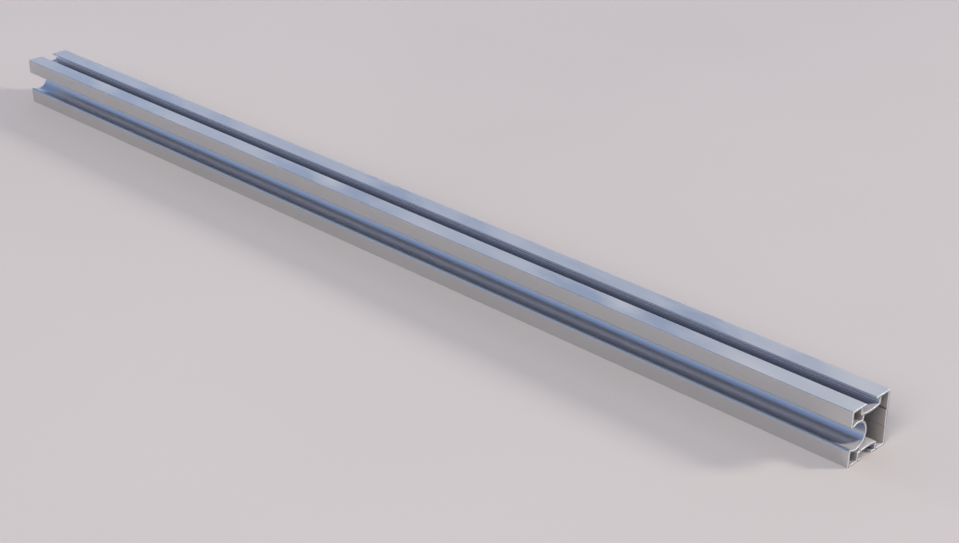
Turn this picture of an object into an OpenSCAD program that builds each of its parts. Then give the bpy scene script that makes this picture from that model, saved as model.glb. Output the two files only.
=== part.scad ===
// Aluminium extrusion profile: a hollow square bar, sawn square at both ends.
// A T-slot with an arched floor runs along the top and another along the underside, a round channel
// with rolled edges runs along the front, and thin walls and webs close the chambers between them.
// The bar lies along X, the channel faces -Y, and the origin is under the middle of the bar.

/* [Stock] */
// Length of the piece as cut
stock_length = 900; // [50:10:3000]
// Side of the square section
side = 40; // [38:0.5:60]
// Thickness of the four outer walls
wall = 1.5; // [1:0.1:2.2]
// Rounding of the four long outer edges
edge_r = 0.5; // [0.2:0.1:1]
// Rounding inside the chambers, where walls meet at right angles
chamber_r = 0.5; // [0.2:0.1:1]

/* [T-slots] */
// Opening between the two lips of a slot
slot_mouth = 11; // [8:0.5:14]
// Rounding of the lips' edges
lip_r = 0.7; // [0.2:0.05:1]
// Width inside a slot, under its lips
slot_w = 18; // [16:0.5:21]
// Depth from the outer face to the floor, at the side walls
slot_depth = 5.6; // [4.5:0.1:6.5]
// Extra depth at the middle of the arched floor
slot_sag = 0.9; // [0.3:0.1:1.3]
// Thickness of a slot's side walls and floor
slot_wall = 1.5; // [1:0.1:2]
// Rounding in the corners of a slot, under its lips and at its floor
slot_corner_r = 0.5; // [0.2:0.1:1]

/* [Round channel] */
// Radius inside the channel
channel_r = 9; // [7.5:0.25:10]
// Distance of the channel's centre behind the front face
channel_inset = 7; // [5:0.25:8]
// Thickness of the channel's wall
channel_wall = 1.4; // [1:0.1:1.8]
// Radius of the rolled edges on both sides of the channel's mouth
channel_lip_r = 1.5; // [0.5:0.05:1.8]

/* [Webs] */
// Thickness of the two webs between the channel and the slots
web_t = 1.4; // [0.8:0.1:2]
// Angle round the channel at which a web starts, counted from straight back
web_angle = 61; // [45:1:80]
// Distance of a web's outer end from the slot's side wall
web_inset = 1.8; // [1:0.1:5]
// Rounding at both ends of the webs, and where the channel's wall leaves the front wall
root_r = 0.5; // [0.2:0.1:0.8]

/* [Rear wall] */
// Height of the thicker band on the inside of the rear wall
band_h = 12; // [6:0.5:16]
// How far the band stands in from the rear wall
band_t = 0.5; // [0.2:0.1:1.5]
// Width of the drill line along the outside of the rear wall
score_w = 1; // [0.4:0.1:2]
// Depth of the drill line
score_depth = 0.5; // [0.2:0.1:0.9]

/* [Hidden] */
$fn = 128;

// How far cuts run past the faces that they open, and fillets into their walls
overrun = 1;
// How far a rounding bites into the faces that it joins, so that it ends on them in a clean edge
bite = 0.001;

half = side / 2;
inner_half = half - wall;

// A lip's two roundings meet at the middle of its edge at most
lip_round = min(lip_r, wall / 2);

// The arched floor is an arc through both floor corners, with the sag at its middle
slot_half = slot_w / 2;
floor_r = (pow(slot_half, 2) + pow(slot_sag, 2)) / (2 * slot_sag);
floor_y = half - slot_depth - slot_sag + floor_r;

// Centre of the rounding between the floor and a side wall, and its direction from the arc's centre
corner_x = slot_half - slot_corner_r;
corner_drop = sqrt(pow(floor_r - slot_corner_r, 2) - pow(corner_x, 2));
corner_dir = [corner_x, -corner_drop] / (floor_r - slot_corner_r);

// The rolled edges touch both the front face and the inside of the channel
channel_x = channel_inset - half;
channel_outer_r = channel_r + channel_wall;
roll_x = channel_lip_r - half;
roll_y = sqrt(pow(channel_r + channel_lip_r, 2) - pow(channel_inset - channel_lip_r, 2));

// A web runs from the middle of the channel's wall to the middle of the slot's floor
web_start = [channel_x, 0] + (channel_r + channel_wall / 2) * [cos(web_angle), sin(web_angle)];
web_end_x = web_inset - slot_half;
web_end = [web_end_x, floor_y - sqrt(pow(floor_r + slot_wall / 2, 2) - pow(web_end_x, 2))];
web_run = web_end - web_start;
web_direction = atan2(web_run[1], web_run[0]);

// Distance of a point to the left of a line that leaves the origin in the given direction
function left_of(point, direction) = point[1] * cos(direction) - point[0] * sin(direction);

// Draws its children as they are and mirrored about the given direction
module both_sides(direction) {
    for (turn = [0, 1])
        mirror(turn * direction) children();
}

// Area between a right-angled corner at the origin and a circle that touches both of its sides.
// Taken from a solid corner it rounds the edge, and added to an inside corner it is a fillet.
module spandrel(r) {
    translate([-r, -r])
        difference() {
            square(r + overrun);
            circle(r + bite);
        }
}

// The bar's full square with its rounded edges
module blank() {
    difference() {
        square(side, center = true);
        both_sides([1, 0])
            both_sides([0, 1])
                translate([half, half]) spandrel(edge_r);
    }
}

// Room of the upper slot up to a given height, with the arched floor and its rounded corners.
// Grown by the slot's wall, it is the trough that the room is cut from.
module slot_room(top, grow) {
    r = slot_corner_r + grow;
    reach = r + overrun;
    difference() {
        intersection() {
            translate([-slot_half - grow, 0]) square([slot_w + 2 * grow, top]);
            translate([0, floor_y]) circle(floor_r + grow);
        }
        both_sides([1, 0])
            translate([corner_x, floor_y - corner_drop])
                difference() {
                    polygon([[0, 0], corner_dir * reach, [reach, corner_dir[1] * reach], [reach, 0]]);
                    circle(r + bite);
                }
    }
}

// Upper slot under its lips, rounded in all four corners
module slot_cut() {
    difference() {
        slot_room(inner_half, 0);
        both_sides([1, 0])
            translate([slot_half, inner_half]) spandrel(slot_corner_r);
    }
}

// Mouth of the upper slot, between two lips with rounded edges
module slot_mouth_cut() {
    translate([-slot_mouth / 2, inner_half - overrun]) square([slot_mouth, wall + 2 * overrun]);
    both_sides([1, 0])
        translate([slot_mouth / 2, half]) {
            mirror([1, 0]) spandrel(lip_round);
            translate([0, -wall]) rotate(180) spandrel(lip_round);
        }
}

// Round channel with its mouth in the front face, between two rolled edges
module channel_cut() {
    translate([channel_x, 0]) circle(channel_r);
    difference() {
        polygon([
            [-half - overrun, -roll_y],
            [-half - overrun, roll_y],
            [roll_x, roll_y],
            [channel_x, 0],
            [roll_x, -roll_y]
        ]);
        both_sides([0, 1])
            translate([roll_x, roll_y]) circle(channel_lip_r + bite);
    }
}

// Fillet beside a strip that stands on the round outside of a wall: left of the strip for a hand of 1,
// right of it for -1. The strip leaves the wall's centre in a direction, with its middle to the left by mid.
module root_fillet(centre, outer_r, wall_t, direction, mid, strip_t, hand) {
    touch_r = outer_r + root_r;
    buried_r = outer_r - wall_t / 2;
    y = mid + hand * (strip_t / 2 + root_r);
    x = sqrt(pow(touch_r, 2) - pow(y, 2));
    buried_x = sqrt(pow(buried_r, 2) - pow(mid, 2));
    translate(centre)
        rotate(direction)
            difference() {
                polygon([[x, mid], [x, y], [x, y] * buried_r / touch_r, [buried_x, mid]]);
                translate([x, y]) circle(root_r + bite);
            }
}

// Slanted web that holds the upper slot's floor on the channel's wall
module web() {
    ring = [channel_x, 0];
    arch = [0, floor_y];
    back = web_direction + 180;
    translate(web_start)
        rotate(web_direction)
            translate([0, -web_t / 2]) square([norm(web_run), web_t]);
    for (hand = [-1, 1]) {
        root_fillet(ring, channel_outer_r, channel_wall, web_direction,
                    left_of(web_start - ring, web_direction), web_t, hand);
        root_fillet(arch, floor_r + slot_wall, slot_wall, back,
                    left_of(web_end - arch, back), web_t, hand);
    }
}

// Fillet above the channel, where its wall leaves the front wall
module channel_fillet() {
    root_fillet([channel_x, 0], channel_outer_r, channel_wall, 90, half - wall / 2 + channel_x, wall, -1);
}

// Fillets of the two upper chambers, along the outer walls and the slot's side walls
module chamber_fillets() {
    both_sides([1, 0]) {
        translate([inner_half, inner_half]) spandrel(chamber_r);
        translate([slot_half + slot_wall, inner_half]) mirror([1, 0]) spandrel(chamber_r);
    }
}

// Metal that crosses the inside of the square tube
module inner_metal() {
    translate([channel_x, 0]) circle(channel_outer_r);
    translate([inner_half - band_t, -band_h / 2]) square([band_t + overrun, band_h]);
    both_sides([0, 1]) {
        slot_room(half, slot_wall);
        web();
        channel_fillet();
        chamber_fillets();
    }
}

// Closed chambers: the inside of the square tube less the metal that crosses it
module chambers() {
    difference() {
        square(2 * inner_half, center = true);
        inner_metal();
    }
}

// Shallow V along the outside of the rear wall, which guides a drill
module drill_line() {
    polygon([
        [half + overrun, -score_w / 2],
        [half, -score_w / 2],
        [half - score_depth, 0],
        [half, score_w / 2],
        [half + overrun, score_w / 2]
    ]);
}

// Section of the bar: front to rear along x, height along y, centred on the bar's axis
module section() {
    difference() {
        blank();
        chambers();
        channel_cut();
        drill_line();
        both_sides([0, 1]) {
            slot_cut();
            slot_mouth_cut();
        }
    }
}

// The whole bar, lying on its underside
module profile() {
    color([0.74, 0.75, 0.77])
        translate([0, 0, half])
            rotate([90, 0, 90])
                linear_extrude(height = stock_length, center = true) section();
}

profile();
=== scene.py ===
"""Looks of one sawn length of slotted aluminium profile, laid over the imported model's frame.

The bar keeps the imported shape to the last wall. This script takes the burr off its sawn edges,
gives each of its surfaces a metal finish, and sets up a pale studio with the camera.
"""

import logging
import math
from dataclasses import dataclass, field
from enum import Enum
from typing import ClassVar, Optional, Union

import bmesh
import bpy
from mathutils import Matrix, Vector


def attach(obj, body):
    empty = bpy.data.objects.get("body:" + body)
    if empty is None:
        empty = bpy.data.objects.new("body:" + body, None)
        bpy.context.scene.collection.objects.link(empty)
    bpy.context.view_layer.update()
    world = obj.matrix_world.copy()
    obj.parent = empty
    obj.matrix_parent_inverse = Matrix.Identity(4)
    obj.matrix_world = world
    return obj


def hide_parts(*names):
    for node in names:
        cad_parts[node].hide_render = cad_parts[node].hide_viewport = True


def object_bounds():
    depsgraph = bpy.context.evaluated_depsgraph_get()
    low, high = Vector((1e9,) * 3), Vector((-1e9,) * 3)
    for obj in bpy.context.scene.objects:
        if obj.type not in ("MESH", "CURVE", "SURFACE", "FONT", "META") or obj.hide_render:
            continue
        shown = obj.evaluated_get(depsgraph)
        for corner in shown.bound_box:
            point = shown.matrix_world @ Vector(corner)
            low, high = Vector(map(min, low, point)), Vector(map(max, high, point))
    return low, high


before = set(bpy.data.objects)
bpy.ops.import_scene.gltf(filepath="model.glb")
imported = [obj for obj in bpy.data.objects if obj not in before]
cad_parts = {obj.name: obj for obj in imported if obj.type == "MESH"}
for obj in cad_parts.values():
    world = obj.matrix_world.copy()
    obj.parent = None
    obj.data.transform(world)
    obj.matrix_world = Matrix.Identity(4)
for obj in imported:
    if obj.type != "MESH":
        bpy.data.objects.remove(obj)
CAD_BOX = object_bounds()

log = logging.getLogger("profile")

Socket = bpy.types.NodeSocket
Colour = tuple[float, float, float, float]
Span = tuple[float, float]
Feed = Union[float, tuple[float, ...], Socket]

HALF_LENGTH = CAD_BOX[1].x
HALF_SIDE = CAD_BOX[1].y
MID_HEIGHT = (CAD_BOX[0].z + CAD_BOX[1].z) / 2.0
UNIT: Span = (0.0, 1.0)
WAVE: Span = (-1.0, 1.0)
FULL_TURN = 2.0 * math.pi
RIGHT_ANGLE = math.pi / 2.0
MIX_SHARE = 0
MIX_FIRST = 6
MIX_SECOND = 7
MIX_RESULT = 2


class Region(Enum):
    """Surfaces of the bar that carry a finish of their own, by their place in the material list."""

    SKIN = 0
    CHAMBER = 1
    SAW_CUT = 2
    DEBURR = 3


class Graph:
    """A shader node tree that is wired in code."""

    def __init__(self, tree: bpy.types.NodeTree) -> None:
        """Keep the tree that the nodes go into.

        Args:
            tree: Node tree of a material, a world or a group.
        """
        self.tree = tree

    def feed(self, socket: Socket, value: Feed) -> None:
        """Set an input to a plain value, or link it to the socket that feeds it.

        Args:
            socket: Input of a node.
            value: Plain value or socket.
        """
        if isinstance(value, Socket):
            self.tree.links.new(value, socket)
        else:
            socket.default_value = value

    def add(self, kind: str, feeds: dict[Union[str, int], Feed], **settings: object) -> bpy.types.Node:
        """Add a node, set its options and feed its inputs.

        Args:
            kind: Blender's type name of the node.
            feeds: Input name or index to a plain value or to the socket that feeds it.
            **settings: Options of the node, by their property names.

        Returns:
            The new node.
        """
        node = self.tree.nodes.new(kind)
        for name, value in settings.items():
            setattr(node, name, value)
        for key, value in feeds.items():
            self.feed(node.inputs[key], value)
        return node

    def math(self, operation: str, first: Feed, second: Feed = 0.0) -> Socket:
        """Work on two numbers.

        Args:
            operation: Name of the Math node's operation.
            first: First number.
            second: Second number, where the operation has one.

        Returns:
            The result's socket.
        """
        return self.add("ShaderNodeMath", {0: first, 1: second}, operation=operation).outputs[0]

    def product(self, first: Feed, *others: Feed) -> Feed:
        """Multiply numbers.

        Args:
            first: First number.
            *others: Numbers that it is multiplied by.

        Returns:
            The result's socket.
        """
        total = first
        for other in others:
            total = self.math("MULTIPLY", total, other)
        return total

    def blend(self, *parts: tuple[Feed, float]) -> Feed:
        """Add numbers up by their shares.

        Args:
            *parts: Pairs of a number and its share.

        Returns:
            The sum's socket.
        """
        total = self.product(*parts[0])
        for part in parts[1:]:
            total = self.math("ADD", total, self.product(*part))
        return total

    def remap(self, value: Feed, start: Span, end: tuple[Feed, Feed]) -> Socket:
        """Carry a number from one range over to another, held at both ends.

        Args:
            value: Number to carry over.
            start: Range that it comes from.
            end: Range that it goes to.

        Returns:
            The result's socket.
        """
        feeds: dict[Union[str, int], Feed] = {
            "Value": value,
            "From Min": start[0],
            "From Max": start[1],
            "To Min": end[0],
            "To Max": end[1],
        }
        return self.add("ShaderNodeMapRange", feeds, clamp=True).outputs[0]

    def inside(self, value: Feed, rise: Span, fall: Span) -> Feed:
        """Tell where a number lies in a stretch with soft ends.

        Args:
            value: Number to test.
            rise: Where the stretch starts, and where it counts in full.
            fall: Where it still counts in full, and where it ends.

        Returns:
            The socket of the stretch's mask, from 0 to 1.
        """
        return self.product(self.remap(value, rise, UNIT), self.remap(value, fall, UNIT[::-1]))

    def tint(self, share: Feed, first: Feed, second: Feed) -> Socket:
        """Mix two colours.

        Args:
            share: Part of the second colour, from 0 to 1.
            first: Colour at a share of 0.
            second: Colour at a share of 1.

        Returns:
            The mixed colour's socket.
        """
        feeds: dict[Union[str, int], Feed] = {MIX_SHARE: share, MIX_FIRST: first, MIX_SECOND: second}
        return self.add("ShaderNodeMix", feeds, data_type="RGBA").outputs[MIX_RESULT]

    def axes(self, where: Feed) -> tuple[Socket, Socket, Socket]:
        """Split a place into its three numbers.

        Args:
            where: Object coordinates in metres.

        Returns:
            The sockets of X, Y and Z.
        """
        split = self.add("ShaderNodeSeparateXYZ", {0: where})
        return split.outputs[0], split.outputs[1], split.outputs[2]

    def stretched_noise(self, where: Feed, cell: tuple[Feed, Feed, Feed], detail: float) -> Socket:
        """Noise whose grains are as long, wide and high as the given cell.

        Args:
            where: Object coordinates in metres.
            cell: Size of a grain along X, Y and Z in metres.
            detail: How many finer layers the noise has.

        Returns:
            The socket of a value about 0.5.
        """
        size = self.add("ShaderNodeCombineXYZ", {0: cell[0], 1: cell[1], 2: cell[2]}).outputs[0]
        place = self.add("ShaderNodeVectorMath", {0: where, 1: size}, operation="DIVIDE").outputs[0]
        return self.add("ShaderNodeTexNoise", {"Vector": place, "Scale": 1.0, "Detail": detail}).outputs[0]


class SharedEffect:
    """A surface effect that finishes share, as one shader node group that is built once."""

    title: ClassVar[str] = ""
    values: ClassVar[dict[str, float]] = {}
    result: ClassVar[str] = ""

    def draw(self, graph: Graph, source: bpy.types.Node) -> Feed:
        """Draw the effect inside its group.

        Args:
            graph: The group's own graph.
            source: The group's input node.

        Returns:
            The socket that the group puts out.
        """
        raise NotImplementedError

    def group(self) -> bpy.types.NodeTree:
        """Find the effect's node group, or build it the first time.

        Returns:
            The node group.
        """
        found = bpy.data.node_groups.get(self.title)
        if found is not None:
            return found
        tree = bpy.data.node_groups.new(self.title, "ShaderNodeTree")
        tree.interface.new_socket(name="Where", in_out="INPUT", socket_type="NodeSocketVector")
        for name, value in self.values.items():
            socket = tree.interface.new_socket(name=name, in_out="INPUT", socket_type="NodeSocketFloat")
            socket.default_value = value
        tree.interface.new_socket(name=self.result, in_out="OUTPUT", socket_type="NodeSocketFloat")
        graph = Graph(tree)
        source = graph.add("NodeGroupInput", {})
        graph.add("NodeGroupOutput", {self.result: self.draw(graph, source)})
        return tree

    def place(self, graph: Graph, where: Feed, **values: float) -> Socket:
        """Place the effect in a material.

        Args:
            graph: The material's graph.
            where: Object coordinates in metres.
            **values: Values of this use, by the input's name in lower case.

        Returns:
            The socket of the effect's mask.
        """
        feeds: dict[Union[str, int], Feed] = {name.capitalize(): value for name, value in values.items()}
        feeds["Where"] = where
        return graph.add("ShaderNodeGroup", feeds, node_tree=self.group()).outputs[self.result]


class DieLines(SharedEffect):
    """Long streaks that the die leaves along the bar, fine ones over broad ones."""

    title = "die_lines"
    values = {"Run": 0.8, "Spacing": 0.0009}
    result = "Lines"
    streaks: ClassVar[tuple[tuple[float, float, float], ...]] = (
        (1.0, 2.0, 0.40),
        (3.1, 1.0, 0.35),
        (8.3, 0.0, 0.25),
    )

    def draw(self, graph: Graph, source: bpy.types.Node) -> Feed:
        """Draw the streaks, each a number of spacings wide, with its detail and its share.

        Args:
            graph: The group's own graph.
            source: The group's input node.

        Returns:
            The socket of the lines' height, about 0.5.
        """
        parts = []
        for spacings, detail, share in self.streaks:
            width = graph.product(source.outputs["Spacing"], spacings)
            cell = (source.outputs["Run"], width, width)
            parts.append((graph.stretched_noise(source.outputs["Where"], cell, detail), share))
        return graph.blend(*parts)


class OxideClouds(SharedEffect):
    """Soft cloudy patches, where the oxide skin is a little thicker or thinner."""

    title = "oxide_clouds"
    values = {"Length": 0.16, "Width": 0.03}
    result = "Clouds"
    detail: ClassVar[float] = 2.0
    contrast: ClassVar[Span] = (0.32, 0.68)

    def draw(self, graph: Graph, source: bpy.types.Node) -> Feed:
        """Draw patches that are drawn out along the bar.

        Args:
            graph: The group's own graph.
            source: The group's input node.

        Returns:
            The socket of the patches' mask, from 0 to 1.
        """
        width = source.outputs["Width"]
        cell = (source.outputs["Length"], width, width)
        patches = graph.stretched_noise(source.outputs["Where"], cell, self.detail)
        return graph.remap(patches, self.contrast, UNIT)


@dataclass(frozen=True)
class Smudge:
    """One smeared patch: its middle, how far it reaches, and the film that it adds or takes away."""

    along: float
    across: float
    half_length: float
    half_width: float
    film: float


class RollerSmudges(SharedEffect):
    """Smeared patches that come back at each turn of the rollers that the bar ran out on."""

    title = "roller_smudges"
    values = {"Pitch": 0.3, "Length": 0.024, "Width": 0.01}
    result = "Smudges"
    slant: ClassVar[float] = 0.8
    detail: ClassVar[float] = 1.5
    noise_middle: ClassVar[float] = 0.5
    ground: ClassVar[float] = 0.5
    streaks: ClassVar[float] = 0.7
    ragged: ClassVar[float] = 1.0
    fade: ClassVar[Span] = (0.1, 1.3)
    patches: ClassVar[tuple[Smudge, ...]] = (
        Smudge(-0.072, -0.016, 0.036, 0.012, -0.65),
        Smudge(-0.006, -0.014, 0.032, 0.013, -0.52),
        Smudge(-0.044, -0.010, 0.018, 0.010, 0.7),
        Smudge(0.074, -0.018, 0.026, 0.010, 0.35),
        Smudge(-0.138, -0.013, 0.022, 0.008, 0.2),
        Smudge(0.010, 0.010, 0.030, 0.012, -0.6),
        Smudge(0.093, 0.012, 0.018, 0.010, -0.3),
        Smudge(-0.072, 0.008, 0.016, 0.005, -0.3),
        Smudge(0.128, 0.013, 0.022, 0.009, 0.2),
    )

    def streaky_noise(self, graph: Graph, source: bpy.types.Node) -> Socket:
        """Draw slanted noise round a circle of one pitch, so that it closes on itself.

        Args:
            graph: The group's own graph.
            source: The group's input node.

        Returns:
            The socket of a value about 0.
        """
        x, y, z = graph.axes(source.outputs["Where"])
        pitch = source.outputs["Pitch"]
        width = source.outputs["Width"]
        turn = graph.math("DIVIDE", graph.product(graph.blend((x, 1.0), (y, self.slant)), FULL_TURN), pitch)
        radius = graph.math("DIVIDE", pitch, graph.product(source.outputs["Length"], FULL_TURN))
        feeds: dict[Union[str, int], Feed] = {
            0: graph.product(radius, graph.math("COSINE", turn)),
            1: graph.product(radius, graph.math("SINE", turn)),
            2: graph.math("DIVIDE", y, width),
        }
        place = graph.add("ShaderNodeCombineXYZ", feeds).outputs[0]
        level = graph.math("DIVIDE", z, width)
        grain = {"Vector": place, "W": level, "Scale": 1.0, "Detail": self.detail}
        noise = graph.add("ShaderNodeTexNoise", grain, noise_dimensions="4D").outputs[0]
        return graph.math("SUBTRACT", noise, self.noise_middle)

    def draw(self, graph: Graph, source: bpy.types.Node) -> Feed:
        """Draw leaning patches with ragged borders, once in each pitch.

        Args:
            graph: The group's own graph.
            source: The group's input node.

        Returns:
            The socket of the film's thickness, from 0 to 1.
        """
        x, y, _ = graph.axes(source.outputs["Where"])
        half_pitch = graph.math("DIVIDE", source.outputs["Pitch"], 2.0)
        noise = self.streaky_noise(graph, source)
        film = graph.math("ADD", graph.product(noise, self.streaks), self.ground)
        for patch in self.patches:
            across = graph.math("SUBTRACT", y, patch.across)
            leaning = graph.math("SUBTRACT", graph.blend((x, 1.0), (across, self.slant)), patch.along)
            wrap = {0: leaning, 1: half_pitch, 2: graph.product(half_pitch, -1.0)}
            along = graph.add("ShaderNodeMath", wrap, operation="WRAP").outputs[0]
            spans = {
                0: graph.math("DIVIDE", along, patch.half_length),
                1: graph.math("DIVIDE", across, patch.half_width),
            }
            offset = graph.add("ShaderNodeCombineXYZ", spans).outputs[0]
            away = graph.add("ShaderNodeVectorMath", {0: offset}, operation="LENGTH").outputs["Value"]
            border = graph.blend((away, 1.0), (noise, self.ragged))
            cover = graph.remap(border, self.fade, UNIT[::-1])
            film = graph.math("ADD", film, graph.product(cover, patch.film))
        return graph.remap(film, UNIT, UNIT)


class HandlingScratches(SharedEffect):
    """Sparse hair scratches from stacking and sliding, at two slants to the bar."""

    title = "handling_scratches"
    values = {"Length": 0.03, "Width": 0.0005, "Cover": 0.7}
    result = "Scratches"
    slants: ClassVar[Span] = (0.16, -0.31)
    axis: ClassVar[tuple[float, float, float]] = (0.0, 1.0, 1.0)
    detail: ClassVar[float] = 0.0
    fade: ClassVar[float] = 0.05

    def draw(self, graph: Graph, source: bpy.types.Node) -> Feed:
        """Draw one set of hair lines for each slant and keep the stronger one.

        Args:
            graph: The group's own graph.
            source: The group's input node.

        Returns:
            The socket of the scratches' mask, from 0 to 1.
        """
        width = source.outputs["Width"]
        cell = (source.outputs["Length"], width, width)
        sets = []
        for slant in self.slants:
            turn = {"Vector": source.outputs["Where"], "Axis": self.axis, "Angle": slant}
            turned = graph.add("ShaderNodeVectorRotate", turn).outputs[0]
            hairs = graph.stretched_noise(turned, cell, self.detail)
            over = graph.math("SUBTRACT", hairs, source.outputs["Cover"])
            sets.append(graph.remap(over, (0.0, self.fade), UNIT))
        return graph.math("MAXIMUM", *sets)


class RubbedEdges(SharedEffect):
    """Rub along the four long outer edges, broken up where nothing touched them."""

    title = "rubbed_edges"
    values = {"Width": 0.0009}
    result = "Rub"
    wander_cell: ClassVar[tuple[float, float, float]] = (0.012, 0.004, 0.004)
    wander_detail: ClassVar[float] = 3.0
    wander_contrast: ClassVar[Span] = (0.35, 0.65)
    reach_shares: ClassVar[Span] = (0.2, 1.6)
    fade_shares: ClassVar[Span] = (0.4, 1.0)

    def draw(self, graph: Graph, source: bpy.types.Node) -> Feed:
        """Draw the nearness to an outer edge, with a broken border.

        Args:
            graph: The group's own graph.
            source: The group's input node.

        Returns:
            The socket of the rub's mask, from 0 to 1.
        """
        where = source.outputs["Where"]
        _, y, z = graph.axes(where)
        across = graph.math("ABSOLUTE", y)
        above = graph.math("ABSOLUTE", graph.math("SUBTRACT", z, MID_HEIGHT))
        depth = graph.math("SUBTRACT", HALF_SIDE, graph.math("MINIMUM", across, above))
        wander = graph.stretched_noise(where, self.wander_cell, self.wander_detail)
        share = graph.remap(wander, self.wander_contrast, self.reach_shares)
        reach = graph.product(source.outputs["Width"], share)
        return graph.remap(graph.math("DIVIDE", depth, reach), self.fade_shares, UNIT[::-1])


class MetalGrain(SharedEffect):
    """Fine even grain of bare metal."""

    title = "metal_grain"
    values = {"Size": 0.0005}
    result = "Grain"
    detail: ClassVar[float] = 3.0

    def draw(self, graph: Graph, source: bpy.types.Node) -> Feed:
        """Draw grains that are as long as they are wide."""
        size = source.outputs["Size"]
        return graph.stretched_noise(source.outputs["Where"], (size, size, size), self.detail)


@dataclass(frozen=True)
class Layer:
    """Something that lies over a finish in places, and what it changes there."""

    strength: float = 1.0
    colour: Optional[Colour] = None
    roughness: Optional[float] = None
    metal: Optional[float] = None

    def mask(self, graph: Graph, where: Feed) -> Feed:
        """Draw where the layer lies.

        Args:
            graph: The material's graph.
            where: Object coordinates in metres.

        Returns:
            The socket of the layer's mask, from 0 to 1.
        """
        raise NotImplementedError


@dataclass(frozen=True)
class EdgeRub(Layer):
    """Bare metal along the rubbed outer edges."""

    strength: float = 0.12
    colour: Optional[Colour] = (0.74, 0.74, 0.74, 1.0)
    roughness: Optional[float] = 0.16

    def mask(self, graph: Graph, where: Feed) -> Feed:
        """Take the shared rub of the edges."""
        return RubbedEdges().place(graph, where)


@dataclass(frozen=True)
class HairScratches(Layer):
    """Bare metal in the hair scratches."""

    strength: float = 0.12
    colour: Optional[Colour] = (0.74, 0.74, 0.74, 1.0)

    def mask(self, graph: Graph, where: Feed) -> Feed:
        """Take the shared scratches."""
        return HandlingScratches().place(graph, where)


@dataclass(frozen=True)
class TopFilm(Layer):
    """Thin pale film on the top face, in smudges, and thicker towards the end that was sawn last."""

    colour: Optional[Colour] = (0.63, 0.60, 0.56, 1.0)
    roughness: Optional[float] = 0.4
    metal: Optional[float] = 0.3
    level: Span = (0.03992, 0.03999)
    run: Span = (-0.44, 0.2)
    smudge_shares: Span = (0.6, 0.68)
    gain: Span = (0.28, 0.46)
    gain_share: float = 0.34

    def mask(self, graph: Graph, where: Feed) -> Feed:
        """Draw the smudges and the gain, on the top alone.

        Args:
            graph: The material's graph.
            where: Object coordinates in metres.

        Returns:
            The socket of the film's mask, from 0 to 1.
        """
        x, _, z = graph.axes(where)
        share = graph.remap(x, self.run, self.smudge_shares)
        smudges = graph.product(RollerSmudges().place(graph, where), share)
        settled = graph.blend((smudges, 1.0), (graph.remap(x, self.gain, UNIT), self.gain_share))
        return graph.product(settled, graph.remap(z, self.level, UNIT))


@dataclass(frozen=True)
class SectionZone(Layer):
    """One zone of the section, by its distance from the bar's middle, across and upwards."""

    across_rise: Span = (-0.002, -0.001)
    across_fall: Span = (0.021, 0.022)
    upwards_rise: Span = (-0.002, -0.001)
    upwards_fall: Span = (0.021, 0.022)

    def mask(self, graph: Graph, where: Feed) -> Feed:
        """Draw the zone on all sides of the middle alike.

        Args:
            graph: The material's graph.
            where: Object coordinates in metres.

        Returns:
            The socket of the zone's mask, from 0 to 1.
        """
        _, y, z = graph.axes(where)
        upwards = graph.math("ABSOLUTE", graph.math("SUBTRACT", z, MID_HEIGHT))
        in_width = graph.inside(graph.math("ABSOLUTE", y), self.across_rise, self.across_fall)
        return graph.product(in_width, graph.inside(upwards, self.upwards_rise, self.upwards_fall))


@dataclass(frozen=True)
class SlotWallFilm(SectionZone):
    """Dull film on the side walls of both slots, which nothing ever rubs."""

    strength: float = 0.9
    colour: Optional[Colour] = (0.58, 0.57, 0.62, 1.0)
    roughness: Optional[float] = 0.25
    metal: Optional[float] = 0.62
    across_rise: Span = (0.0086, 0.0089)
    across_fall: Span = (0.0094, 0.0096)
    upwards_rise: Span = (0.0146, 0.0150)
    upwards_fall: Span = (0.0184, 0.0186)


@dataclass(frozen=True)
class SlotFloorGlossAndShade(SectionZone):
    """Smoother skin on the floors of both slots and under their lips, in a darker bluish colour that paints
    the shade and the blue reflected light in the slots.
    """

    # darker bluish colour paints the shade in the slots
    colour: Optional[Colour] = (0.435, 0.46, 0.525, 1.0)
    roughness: Optional[float] = 0.12
    metal: Optional[float] = 0.9
    across_fall: Span = (0.0094, 0.0096)
    upwards_rise: Span = (0.0125, 0.0130)
    upwards_fall: Span = (0.0185, 0.0187)


@dataclass(frozen=True)
class LipNosePaintedSky(SectionZone):
    """Duller skin on the noses of the slots' lips, with a blue colour that paints the sky's reflection
    there.
    """

    strength: float = 0.8
    # blue colour that paints the sky's reflection on the lip noses
    colour: Optional[Colour] = (0.52, 0.58, 0.68, 1.0)
    roughness: Optional[float] = 0.3
    metal: Optional[float] = 0.4
    across_rise: Span = (0.0052, 0.0054)
    across_fall: Span = (0.0060, 0.0063)
    upwards_rise: Span = (0.0183, 0.0185)
    upwards_fall: Span = (0.0190, 0.0196)


@dataclass(frozen=True)
class ChannelHaze(SectionZone):
    """Hazier skin in the bore of the channel."""

    colour: Optional[Colour] = (0.575, 0.59, 0.635, 1.0)
    roughness: Optional[float] = 0.29
    across_rise: Span = (0.0020, 0.0030)
    across_fall: Span = (0.0190, 0.0195)
    upwards_fall: Span = (0.0090, 0.0094)


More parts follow.
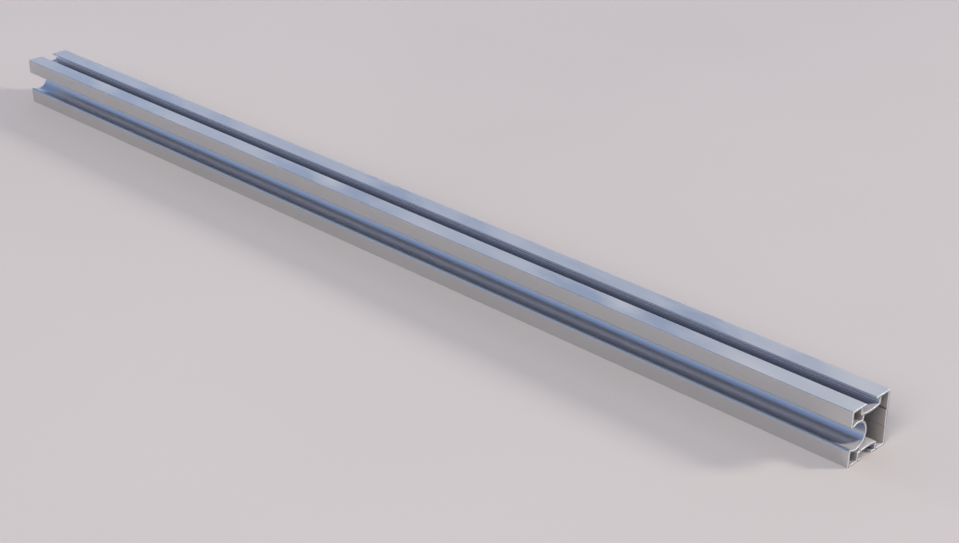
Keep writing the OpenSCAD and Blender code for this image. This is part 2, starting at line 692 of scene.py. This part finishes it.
@dataclass(frozen=True)
class PaintedLightWedge(Layer):
    """Painted pool of light: a pale matt patch on a floor of the bar, up to a slanted border behind the
    cut, where light falling in through the sawn end at a slant would light it.
    """

    # pale colour and matt finish paint the light that falls in through the sawn end
    colour: Optional[Colour] = (0.46, 0.43, 0.41, 1.0)
    roughness: Optional[float] = 0.6
    metal: Optional[float] = 0.3
    reach: float = 0.009
    border: float = 0.0006
    floor_rise: Span = (0.0325, 0.0330)
    floor_fall: Span = (0.0346, 0.0350)
    front: Span = (-0.0186, -0.0176)

    def mask(self, graph: Graph, where: Feed) -> Feed:
        """Draw the wedge between the cut and the slanted border.

        Args:
            graph: The material's graph.
            where: Object coordinates in metres.

        Returns:
            The socket of the painted light's mask, from 0 to 1.
        """
        x, y, z = graph.axes(where)
        from_cut = graph.math("SUBTRACT", HALF_LENGTH, x)
        slant = graph.math("SUBTRACT", graph.math("ADD", from_cut, y), self.reach)
        near_cut = graph.remap(slant, (-self.border, self.border), UNIT[::-1])
        on_floor = graph.inside(z, self.floor_rise, self.floor_fall)
        return graph.product(near_cut, on_floor, graph.remap(y, self.front, UNIT))


@dataclass(frozen=True)
class PaintedLedgeShade(Layer):
    """Painted shade: dark lines along the two ledges of the thicker band on the rear wall."""

    # dark colour that paints the shade along the ledges
    colour: Optional[Colour] = (0.16, 0.155, 0.16, 1.0)
    rear_wall: Span = (0.0172, 0.0176)
    upper_ledge: float = 0.0262
    upper_width: float = 0.0006
    lower_ledge: float = 0.0138
    lower_width: float = 0.0004
    core_share: float = 0.5

    def mask(self, graph: Graph, where: Feed) -> Feed:
        """Draw a soft line along each ledge.

        Args:
            graph: The material's graph.
            where: Object coordinates in metres.

        Returns:
            The socket of the painted shade's mask, from 0 to 1.
        """
        _, y, z = graph.axes(where)
        lines = []
        for level, width in ((self.upper_ledge, self.upper_width), (self.lower_ledge, self.lower_width)):
            away = graph.math("ABSOLUTE", graph.math("SUBTRACT", z, level))
            lines.append(graph.remap(away, (width * self.core_share, width), UNIT[::-1]))
        return graph.product(graph.math("MAXIMUM", *lines), graph.remap(y, self.rear_wall, UNIT))


@dataclass(frozen=True)
class Finish:
    """How a surface looks: two tones with their roughness, its relief and the layers over it."""

    title: str
    light: Colour
    dark: Colour
    light_roughness: float
    dark_roughness: float
    metal: float
    relief_depth: float
    relief_strength: float
    tone_span: Span = (0.15, 0.85)
    layers: tuple[Layer, ...] = ()

    def detail(self, graph: Graph, where: Feed) -> tuple[Feed, Feed]:
        """Draw the finish's own detail.

        Args:
            graph: The material's graph.
            where: Object coordinates in metres.

        Returns:
            The sockets of the tone, from dark to light, and of the relief's height.
        """
        raise NotImplementedError

    def material(self) -> bpy.types.Material:
        """Build the material from its tones, with its layers laid over them in order.

        Returns:
            The finished material.
        """
        material = bpy.data.materials.new(self.title)
        material.use_nodes = True
        graph = Graph(material.node_tree)
        where = graph.add("ShaderNodeTexCoord", {}).outputs["Object"]
        tone, height = self.detail(graph, where)
        colour: Feed = graph.tint(tone, self.dark, self.light)
        roughness: Feed = graph.remap(tone, self.tone_span, (self.dark_roughness, self.light_roughness))
        metal: Feed = self.metal
        for layer in self.layers:
            cover = graph.product(layer.mask(graph, where), layer.strength)
            if layer.colour is not None:
                colour = graph.tint(cover, colour, layer.colour)
            if layer.roughness is not None:
                roughness = graph.remap(cover, UNIT, (roughness, layer.roughness))
            if layer.metal is not None:
                metal = graph.remap(cover, UNIT, (metal, layer.metal))
        relief = {"Strength": self.relief_strength, "Distance": self.relief_depth, "Height": height}
        normal = graph.add("ShaderNodeBump", relief).outputs[0]
        shader = material.node_tree.nodes["Principled BSDF"]
        feeds = {"Base Color": colour, "Roughness": roughness, "Metallic": metal, "Normal": normal}
        for name, value in feeds.items():
            graph.feed(shader.inputs[name], value)
        return material


@dataclass(frozen=True)
class SatinSkin(Finish):
    """Satin oxide skin on the outside of the bar, in its slots and in its channel."""

    title: str = "satin_skin"
    light: Colour = (0.64, 0.64, 0.64, 1.0)
    dark: Colour = (0.59, 0.59, 0.595, 1.0)
    light_roughness: float = 0.225
    dark_roughness: float = 0.25
    metal: float = 0.96
    relief_depth: float = 0.00001
    relief_strength: float = 0.05
    cloud_share: float = 0.6
    scratch_share: float = 0.15
    layers: tuple[Layer, ...] = (
        EdgeRub(),
        HairScratches(),
        TopFilm(),
        # smoother slot floors, with painted shade in their colour
        SlotFloorGlossAndShade(),
        SlotWallFilm(),
        # painted sky reflection on the noses of the slots' lips
        LipNosePaintedSky(),
        ChannelHaze(),
        # painted pool of light on the floor of the top slot
        PaintedLightWedge(),
        # painted pool of light on the floor of the channel
        PaintedLightWedge(reach=-0.0043, floor_rise=(0.0100, 0.0108), floor_fall=(0.01235, 0.01505)),
        # painted pool of light on the lips of the lower slot
        PaintedLightWedge(reach=0.009, floor_rise=(0.0008, 0.0012), floor_fall=(0.0016, 0.0019)),
    )

    def detail(self, graph: Graph, where: Feed) -> tuple[Feed, Feed]:
        """Draw die lines under cloudy oxide, with scratches cut into them.

        Args:
            graph: The material's graph.
            where: Object coordinates in metres.

        Returns:
            The sockets of the tone, from dark to light, and of the relief's height.
        """
        lines = DieLines().place(graph, where)
        clouds = OxideClouds().place(graph, where)
        scratches = HandlingScratches().place(graph, where)
        tone = graph.blend((clouds, self.cloud_share), (lines, 1.0 - self.cloud_share))
        return tone, graph.blend((lines, 1.0), (scratches, -self.scratch_share))


@dataclass(frozen=True)
class ChamberSkin(Finish):
    """Duller skin inside the closed chambers, as it came from the die."""

    title: str = "chamber_skin"
    light: Colour = (0.44, 0.40, 0.375, 1.0)
    dark: Colour = (0.36, 0.33, 0.31, 1.0)
    light_roughness: float = 0.42
    dark_roughness: float = 0.55
    metal: float = 0.45
    relief_depth: float = 0.00002
    relief_strength: float = 0.3
    cloud_share: float = 0.45
    cloud_length: float = 0.09
    cloud_width: float = 0.02
    line_run: float = 0.5
    line_spacing: float = 0.0013
    grain_size: float = 0.0008
    grain_share: float = 0.3
    layers: tuple[Layer, ...] = (
        # painted shade along the ledges of the rear wall
        PaintedLedgeShade(),
        # painted pools of light on the floors of the upper and the lower front chamber
        PaintedLightWedge(reach=-0.0105, floor_rise=(0.0285, 0.0290), floor_fall=(0.0330, 0.0345)),
        PaintedLightWedge(reach=-0.0105, floor_rise=(0.0005, 0.0010), floor_fall=(0.0020, 0.0030)),
        # painted pool of light on the floor of the rear chamber and on the lower slot that rises from it
        PaintedLightWedge(colour=(0.62, 0.575, 0.55, 1.0), metal=0.1, reach=0.0185, floor_rise=(0.0005, 0.0010),
                 floor_fall=(0.0083, 0.0088), front=(-0.0102, -0.0100)),
    )

    def detail(self, graph: Graph, where: Feed) -> tuple[Feed, Feed]:
        """Draw coarse die lines under cloudy oxide, with a dull grain.

        Args:
            graph: The material's graph.
            where: Object coordinates in metres.

        Returns:
            The sockets of the tone, from dark to light, and of the relief's height.
        """
        lines = DieLines().place(graph, where, run=self.line_run, spacing=self.line_spacing)
        clouds = OxideClouds().place(graph, where, length=self.cloud_length, width=self.cloud_width)
        grain = MetalGrain().place(graph, where, size=self.grain_size)
        tone = graph.blend((clouds, self.cloud_share), (lines, 1.0 - self.cloud_share))
        return tone, graph.blend((lines, 1.0), (grain, self.grain_share))


@dataclass(frozen=True)
class SawnFace(Finish):
    """Bare end of the bar with the arcs of a circular saw."""

    title: str = "sawn_face"
    light: Colour = (0.365, 0.345, 0.335, 1.0)
    dark: Colour = (0.30, 0.285, 0.275, 1.0)
    light_roughness: float = 0.34
    dark_roughness: float = 0.46
    metal: float = 0.5
    relief_depth: float = 0.00003
    relief_strength: float = 0.25
    tone_span: Span = (0.1, 0.8)
    blade_centre: Span = (0.045, -0.125)
    feed_per_tooth: float = 0.0011
    drift_size: float = 0.01
    drift_detail: float = 2.0
    drift_teeth: float = 1.5
    spread_size: float = 0.004
    spread_detail: float = 3.0
    spread_contrast: Span = (0.3, 0.7)
    spread_shares: Span = (0.25, 1.0)
    grain_size: float = 0.0006
    grain_share: float = 0.45

    def saw_marks(self, graph: Graph, where: Feed) -> Feed:
        """Draw arcs about the blade's centre, uneven as the feed was.

        Args:
            graph: The material's graph.
            where: Object coordinates in metres.

        Returns:
            The socket of the marks' height, from 0 to 1.
        """
        _, y, z = graph.axes(where)
        across = graph.math("SUBTRACT", y, self.blade_centre[0])
        above = graph.math("SUBTRACT", z, self.blade_centre[1])
        squares = graph.math("ADD", graph.product(across, across), graph.product(above, above))
        radius = graph.math("SQRT", squares)
        drift = graph.stretched_noise(where, (self.drift_size,) * 3, self.drift_detail)
        path = graph.blend((radius, 1.0), (drift, self.drift_teeth * self.feed_per_tooth))
        wave = graph.math("SINE", graph.product(path, FULL_TURN / self.feed_per_tooth))
        spread = graph.stretched_noise(where, (self.spread_size,) * 3, self.spread_detail)
        depth = graph.remap(spread, self.spread_contrast, self.spread_shares)
        return graph.product(graph.remap(wave, WAVE, UNIT), depth)

    def detail(self, graph: Graph, where: Feed) -> tuple[Feed, Feed]:
        """Draw the saw's arcs over bare grain.

        Args:
            graph: The material's graph.
            where: Object coordinates in metres.

        Returns:
            The sockets of the tone, from dark to light, and of the relief's height.
        """
        grain = MetalGrain().place(graph, where, size=self.grain_size)
        marks = self.saw_marks(graph, where)
        tone = graph.blend((marks, 1.0 - self.grain_share), (grain, self.grain_share))
        return tone, tone


@dataclass(frozen=True)
class DeburredEdge(Finish):
    """Narrow bright edge, where the burr of the saw was scraped off."""

    title: str = "deburred_edge"
    light: Colour = (0.77, 0.77, 0.765, 1.0)
    dark: Colour = (0.71, 0.71, 0.705, 1.0)
    light_roughness: float = 0.48
    dark_roughness: float = 0.56
    metal: float = 0.5
    relief_depth: float = 0.00001
    relief_strength: float = 0.15
    tone_span: Span = (0.25, 0.75)
    chatter: float = 0.0009

    def detail(self, graph: Graph, where: Feed) -> tuple[Feed, Feed]:
        """Draw the scraper's chatter as a grain."""
        grain = MetalGrain().place(graph, where, size=self.chatter)
        return grain, grain


@dataclass(frozen=True)
class FloorPaint(Finish):
    """Matt paint of the studio floor, faintly mottled."""

    title: str = "floor_paint"
    light: Colour = (0.58, 0.52, 0.48, 1.0)
    dark: Colour = (0.56, 0.50, 0.46, 1.0)
    light_roughness: float = 0.85
    dark_roughness: float = 0.75
    metal: float = 0.0
    relief_depth: float = 0.0001
    relief_strength: float = 0.05
    mottle_size: float = 0.5

    def detail(self, graph: Graph, where: Feed) -> tuple[Feed, Feed]:
        """Draw a slow mottle."""
        mottle = OxideClouds().place(graph, where, length=self.mottle_size, width=self.mottle_size)
        return mottle, mottle


@dataclass
class ProfileBar:
    """The bar itself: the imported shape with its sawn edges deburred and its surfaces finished."""

    title: str = "profile_bar"
    node: str = "profile"
    body: str = "root"
    slot: str = "aluminium"
    deburr: float = 0.0004
    deburr_steps: int = 3
    merge_gap: float = 1e-6
    flat_angle: float = math.radians(0.05)
    crease: float = math.radians(38.0)
    cut_facing: float = 0.999
    side_facing: float = 0.02
    finishes: dict[Region, Finish] = field(default_factory=lambda: {
        Region.SKIN: SatinSkin(),
        Region.CHAMBER: ChamberSkin(),
        Region.SAW_CUT: SawnFace(),
        Region.DEBURR: DeburredEdge(),
    })

    def region_of(self, face: bmesh.types.BMFace) -> Region:
        """Tell a saw cut, a deburred edge and a long side apart by the way a face looks.

        Args:
            face: A face of the bar.

        Returns:
            The face's region, with the skin standing for every long side.
        """
        along = abs(face.normal.x)
        if along > self.cut_facing:
            return Region.SAW_CUT
        return Region.DEBURR if along > self.side_facing else Region.SKIN

    def merged_copy(self) -> bmesh.types.BMesh:
        """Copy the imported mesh, join its loose triangles and open up its flat faces.

        Returns:
            A closed mesh with one face to each flat of the section.
        """
        bm = bmesh.new()
        bm.from_mesh(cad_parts[self.node].data)
        bmesh.ops.remove_doubles(bm, verts=bm.verts[:], dist=self.merge_gap)
        bmesh.ops.dissolve_limit(bm, angle_limit=self.flat_angle, use_dissolve_boundaries=False,
                                 verts=bm.verts[:], edges=bm.edges[:], delimit=set())
        bm.normal_update()
        return bm

    def take_off_burr(self, bm: bmesh.types.BMesh) -> None:
        """Round the edges between both saw cuts and the long sides.

        Args:
            bm: The merged bar.
        """
        sawn = [edge for edge in bm.edges
                if {self.region_of(face) for face in edge.link_faces} == {Region.SAW_CUT, Region.SKIN}]
        bmesh.ops.bevel(bm, geom=sawn, offset=self.deburr, offset_type="OFFSET", affect="EDGES",
                        segments=self.deburr_steps, profile=0.5, material=-1, clamp_overlap=False)
        bm.normal_update()

    def outer_sides(self, bm: bmesh.types.BMesh) -> set[bmesh.types.BMFace]:
        """Find the long sides that the outside air reaches across the section.

        Args:
            bm: The deburred bar.

        Returns:
            The long sides that hang together with the outer faces, without crossing a sawn end.
        """
        sides = {face for face in bm.faces if self.region_of(face) is Region.SKIN}
        front = min(sides, key=lambda face: face.calc_center_median().y)
        found = {front}
        queue = [front]
        while queue:
            for edge in queue.pop().edges:
                fresh = [face for face in edge.link_faces if face in sides and face not in found]
                found.update(fresh)
                queue.extend(fresh)
        return found

    def dress(self, bm: bmesh.types.BMesh) -> None:
        """Give each face its finish and smooth shading.

        Args:
            bm: The deburred bar.
        """
        outside = self.outer_sides(bm)
        for face in bm.faces:
            region = self.region_of(face)
            if region is Region.SKIN and face not in outside:
                region = Region.CHAMBER
            face.material_index = region.value
            face.smooth = True

    def build(self) -> bpy.types.Object:
        """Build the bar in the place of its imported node.

        Returns:
            The finished piece.
        """
        bm = self.merged_copy()
        self.take_off_burr(bm)
        self.dress(bm)
        mesh = bpy.data.meshes.new(self.title)
        bm.to_mesh(mesh)
        bm.free()
        mesh.set_sharp_from_angle(angle=self.crease)
        for region in Region:
            mesh.materials.append(self.finishes[region].material())
        piece = bpy.data.objects.new(self.title, mesh)
        bpy.context.scene.collection.objects.link(piece)
        normals = piece.modifiers.new("flat_faces", "WEIGHTED_NORMAL")
        normals.keep_sharp = True
        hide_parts(self.node)
        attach(piece, self.body)
        return piece


@dataclass(frozen=True)
class PaleFloor:
    """Plain matt floor under the bar."""

    title: str = "pale_floor"
    half_size: float = 7.0
    segments: int = 2
    level: float = -0.0001
    paint: Finish = FloorPaint()

    def build(self) -> bpy.types.Object:
        """Lay the floor just under the bar.

        Returns:
            The floor, which isn't part of the object.
        """
        bm = bmesh.new()
        bmesh.ops.create_grid(bm, x_segments=self.segments, y_segments=self.segments, size=self.half_size)
        bmesh.ops.translate(bm, vec=(0.0, 0.0, self.level), verts=bm.verts[:])
        mesh = bpy.data.meshes.new(self.title)
        bm.to_mesh(mesh)
        bm.free()
        mesh.materials.append(self.paint.material())
        floor = bpy.data.objects.new(self.title, mesh)
        bpy.context.scene.collection.objects.link(floor)
        return floor


@dataclass(frozen=True)
class Softbox:
    """A square soft lamp that looks at one point.

    It may stay out of reflections, where it would burn the metal out to white, or show in them alone.
    """

    title: str
    place: tuple[float, float, float]
    looks_at: tuple[float, float, float]
    side: float
    power: float
    colour: tuple[float, float, float]
    in_reflections: bool = True
    on_matt: bool = True

    def build(self) -> bpy.types.Object:
        """Hang the lamp.

        Returns:
            The lamp.
        """
        light = bpy.data.lights.new(self.title, "AREA")
        light.shape = "SQUARE"
        light.size = self.side
        light.energy = self.power
        light.color = self.colour
        lamp = bpy.data.objects.new(self.title, light)
        lamp.location = self.place
        lamp.visible_glossy = self.in_reflections
        lamp.visible_diffuse = self.on_matt
        aim = Vector(self.looks_at) - Vector(self.place)
        lamp.rotation_euler = aim.to_track_quat("-Z", "Y").to_euler()
        bpy.context.scene.collection.objects.link(lamp)
        return lamp


@dataclass(frozen=True)
class Studio:
    """Pale floor, cool light from all round under a paler zenith, and soft lamps."""

    floor: PaleFloor = PaleFloor()
    lamps: tuple[Softbox, ...] = (
        Softbox("key_lamp", place=(4.15, 3.8, 2.38), looks_at=(0.2, 0.0, 0.02), side=1.0, power=240.0,
                colour=(1.0, 0.95, 0.89), in_reflections=False),
        Softbox("fill_lamp", place=(2.2, -5.3, 4.7), looks_at=(-0.3, -0.1, 0.0), side=4.0, power=450.0,
                colour=(1.0, 0.965, 0.93), in_reflections=False),
        Softbox("edge_card", place=(3.12, 2.61, 4.46), looks_at=(0.45, 0.0, 0.02), side=1.0, power=240.0,
                colour=(1.0, 0.95, 0.89), on_matt=False),
        Softbox("back_lamp", place=(-2.1, 2.6, 1.75), looks_at=(0.1, 0.0, 0.0), side=3.4, power=6.5,
                colour=(1.0, 0.9, 0.8)),
        Softbox("end_lamp", place=(-2.7, -0.5, 0.25), looks_at=(-0.45, 0.0, 0.02), side=0.45, power=46.0,
                colour=(1.0, 0.95, 0.9), in_reflections=False),
    )
    horizon_colour: Colour = (0.48, 0.62, 0.86, 1.0)
    wall_colour: Colour = (0.305, 0.415, 0.655, 1.0)
    ceiling_colour: Colour = (0.14, 0.23, 0.44, 1.0)
    wall_rise: Span = (0.0, 0.28)
    ceiling_rise: Span = (0.28, 0.73)
    zenith_colour: Colour = (0.32, 0.35, 0.40, 1.0)
    zenith_rise: Span = (0.68, 0.88)

    def light_room(self) -> None:
        """Light the room from all round, paler at the horizon and overhead than between them."""
        world = bpy.data.worlds.new("studio_room")
        world.use_nodes = True
        graph = Graph(world.node_tree)
        _, _, rise = graph.axes(graph.add("ShaderNodeTexCoord", {}).outputs["Generated"])
        wall = graph.tint(graph.remap(rise, self.wall_rise, UNIT), self.horizon_colour, self.wall_colour)
        ceiling = graph.tint(graph.remap(rise, self.ceiling_rise, UNIT), wall, self.ceiling_colour)
        colour = graph.tint(graph.remap(rise, self.zenith_rise, UNIT), ceiling, self.zenith_colour)
        graph.feed(world.node_tree.nodes["Background"].inputs["Color"], colour)
        bpy.context.scene.world = world

    def build(self) -> list[bpy.types.Object]:
        """Set up the floor, the lamps and the light of the room.

        Returns:
            The floor and the lamps.
        """
        self.light_room()
        return [self.floor.build(), *(lamp.build() for lamp in self.lamps)]


@dataclass(frozen=True)
class PhotoCamera:
    """Camera at the photograph's place, level and with its picture centre in the middle."""

    title: str = "photo_camera"
    eye: tuple[float, float, float] = (0.95539, -0.84862, 0.59594)
    look_down: float = math.radians(26.055)
    azimuth: float = math.radians(44.803)
    focal_pixels: float = 1813.45
    picture_width: float = 959.0
    sensor_width: float = 36.0

    def build(self) -> bpy.types.Object:
        """Set up the camera and make it the scene's own.

        Returns:
            The camera.
        """
        data = bpy.data.cameras.new(self.title)
        data.sensor_fit = "HORIZONTAL"
        data.sensor_width = self.sensor_width
        data.lens = self.sensor_width * self.focal_pixels / self.picture_width
        camera = bpy.data.objects.new(self.title, data)
        camera.location = self.eye
        camera.rotation_euler = (RIGHT_ANGLE - self.look_down, 0.0, self.azimuth)
        bpy.context.scene.collection.objects.link(camera)
        bpy.context.scene.camera = camera
        return camera


def main() -> None:
    """Build the camera, the bar and the studio, and report each piece."""
    logging.basicConfig(level=logging.INFO, format="%(name)s: %(message)s")
    bpy.context.scene.view_settings.view_transform = "Standard"
    camera = PhotoCamera().build()
    log.info("camera %s with a %.2f mm lens", camera.name, camera.data.lens)
    piece = ProfileBar().build()
    log.info("piece %s with %d faces in %d finishes", piece.name, len(piece.data.polygons),
             len(piece.data.materials))
    for item in Studio().build():
        log.info("studio %s", item.name)


if __name__ == "__main__":
    main()
